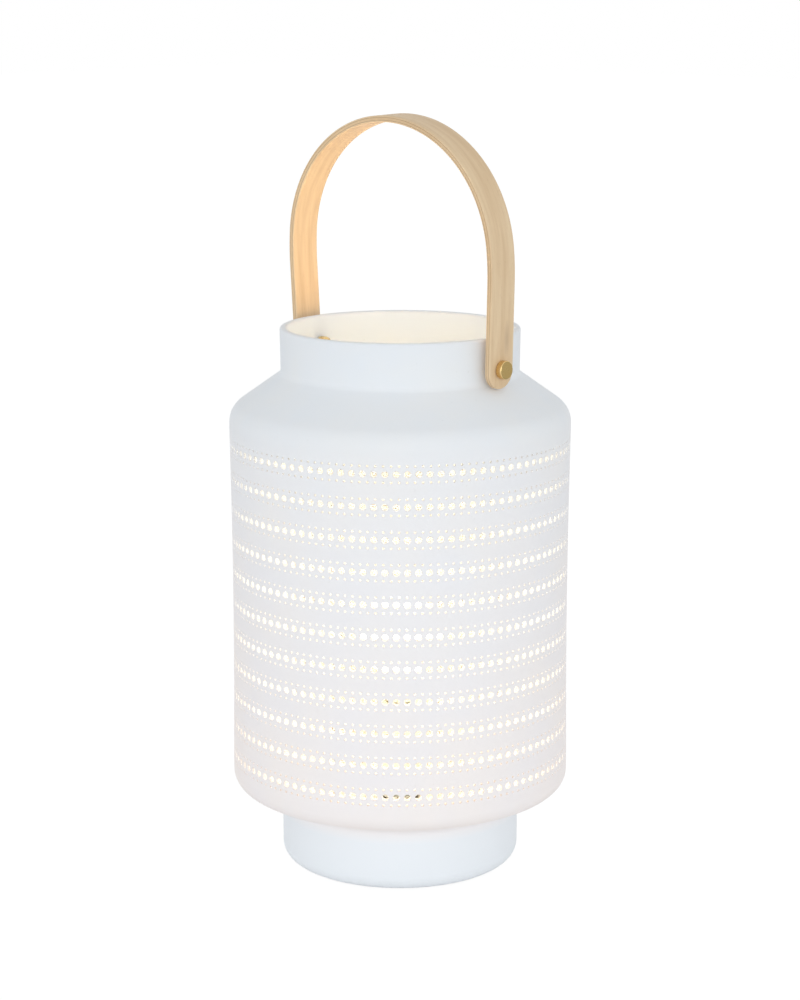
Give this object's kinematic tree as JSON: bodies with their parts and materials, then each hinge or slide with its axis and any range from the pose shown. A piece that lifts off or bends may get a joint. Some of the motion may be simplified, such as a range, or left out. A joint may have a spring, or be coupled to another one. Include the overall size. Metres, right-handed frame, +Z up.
{
  "type": "table lamp",
  "caption": "Lantern-shaped table lamp: a perforated white porcelain body with an open neck, a bent birch carrying strap on brass pivots and an opal globe bulb inside.",
  "frame": {"origin": "on the lamp's axis, in the plane that it stands on, at the centre of the bottom of its box", "axes": "+Z up along the body's axis, +X along the axis of the strap's pivots, +Y to the back, where the cable inlet is"},
  "size_m": [0.18, 0.18, 0.4002],
  "materials": {
    "porcelain": "matte bisque, unglazed",
    "birch": "satin, bent plywood",
    "brass": "fine turned, satin",
    "steel": "zinc plated",
    "bulb_steel": "nickel plated",
    "felt": "pressed felt",
    "rubber": "matte",
    "black_plastic": "matte",
    "white_plastic": "semi-gloss",
    "ivory_plastic": "matte",
    "brown_insulation": "smooth",
    "blue_insulation": "smooth",
    "opal_globe": "opal, lit from inside"
  },
  "bodies": {
    "lantern": {"porcelain_body": "porcelain", "base_plate": "steel", "base_screws": "steel", "base_bracket": "steel", "foot_pads": "felt", "cable_inlet": "black_plastic", "terminal_block": "ivory_plastic", "terminal_screws": "brass", "block_screw": "steel", "nipple": "steel", "nipple_nut": "steel", "steel_washers": "steel", "rubber_washers": "rubber", "holder_cap": "white_plastic", "holder_shell": "white_plastic", "holder_core": "ivory_plastic", "screw_shell": "brass", "centre_contact": "brass", "holder_terminals": "brass", "live_lead": "brown_insulation", "neutral_lead": "blue_insulation", "pivot_screws": "brass", "pivot_spacers": "brass", "neck_washers": "ivory_plastic", "dome_nuts": "brass"},
    "handle": {"handle_strap": "birch"},
    "bulb": {"bulb_globe": "opal_globe", "bulb_collar": "white_plastic", "bulb_cap": "bulb_steel", "bulb_insulator": "black_plastic", "bulb_tip": "bulb_steel"}
  },
  "joints": [
    {"name": "handle_swing", "type": "hinge", "parent": "lantern", "child": "handle", "pos_m": [0, 0, 0.2748], "axis": [1, 0, 0], "range_deg": [-100, 100]},
    {"name": "bulb_lift", "type": "slide", "parent": "lantern", "child": "bulb", "axis": [0, 0, 1], "range_m": [0, 0.02]}
  ]
}
